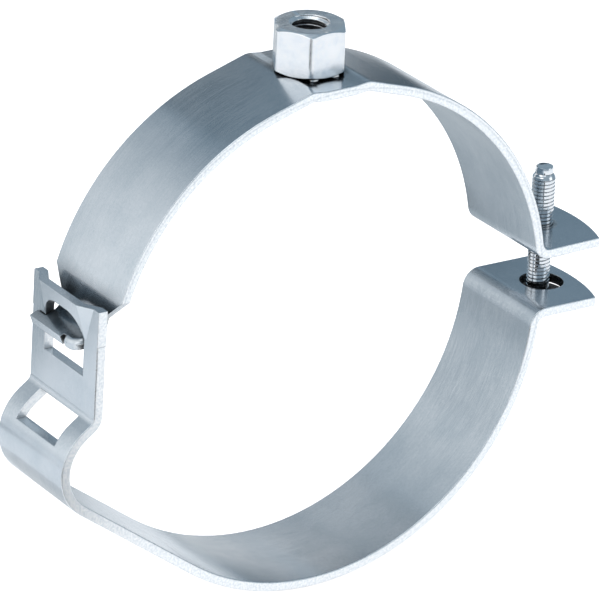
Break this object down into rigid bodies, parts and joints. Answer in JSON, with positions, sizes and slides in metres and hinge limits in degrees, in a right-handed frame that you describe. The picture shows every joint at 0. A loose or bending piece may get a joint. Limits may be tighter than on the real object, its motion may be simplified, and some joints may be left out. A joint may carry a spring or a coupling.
{
  "type": "pipe bracket",
  "caption": "Hinged two-part sheet-steel pipe bracket: an upper strap with a hexagon connection nut, a lower strap hooked into it, and a side screw that draws the two together round a pipe",
  "frame": {"origin": "centre of the upper strap's ring, on the axis of the pipe and half way along the strap's width", "axes": "+Y along the pipe, +Z from the pipe to the connection nut, +X towards the flanges and the clamp screw"},
  "size_m": [0.1616, 0.03, 0.1465],
  "materials": {
    "upper_strap_zinc": "bright zinc plate on rolled strip, half gloss",
    "lower_strap_zinc": "bright zinc plate on rolled strip, half gloss",
    "nut_zinc": "bright zinc plate on drawn hexagon bar",
    "ring_zinc": "bright zinc plate on a pressed ring",
    "screw_zinc": "bright zinc plate on a rolled thread",
    "washer_zinc": "bright zinc plate on a stamped washer"
  },
  "bodies": {
    "upper_half": {"upper_strap": "upper_strap_zinc", "connection_nut": "nut_zinc", "thread_ring": "ring_zinc"},
    "lower_half": {"lower_strap": "lower_strap_zinc"},
    "washer": {"screw_washer": "washer_zinc"},
    "screw": {"clamp_screw": "screw_zinc"}
  },
  "joints": [
    {"name": "hook_hinge", "type": "hinge", "parent": "upper_half", "child": "lower_half", "pos_m": [-0.067, 0, 0.009], "axis": [0, 1, 0], "range_deg": [-3.76, 2.41]},
    {"name": "screw_travel", "type": "slide", "parent": "upper_half", "child": "washer", "axis": [0, 0, 1], "range_m": [-0.0059, 0.00925]},
    {"name": "screw_turn", "type": "hinge", "parent": "washer", "child": "screw", "pos_m": [0.07419, 0, 0], "axis": [0, 0, 1], "range_deg": [-2130, 3335]}
  ],
  "couplings": [
    {"joint": "screw_turn", "follows": "screw_travel", "rad_per_m": 6283.2},
    {"joint": "hook_hinge", "follows": "screw_travel", "rad_per_m": -7.0822}
  ]
}
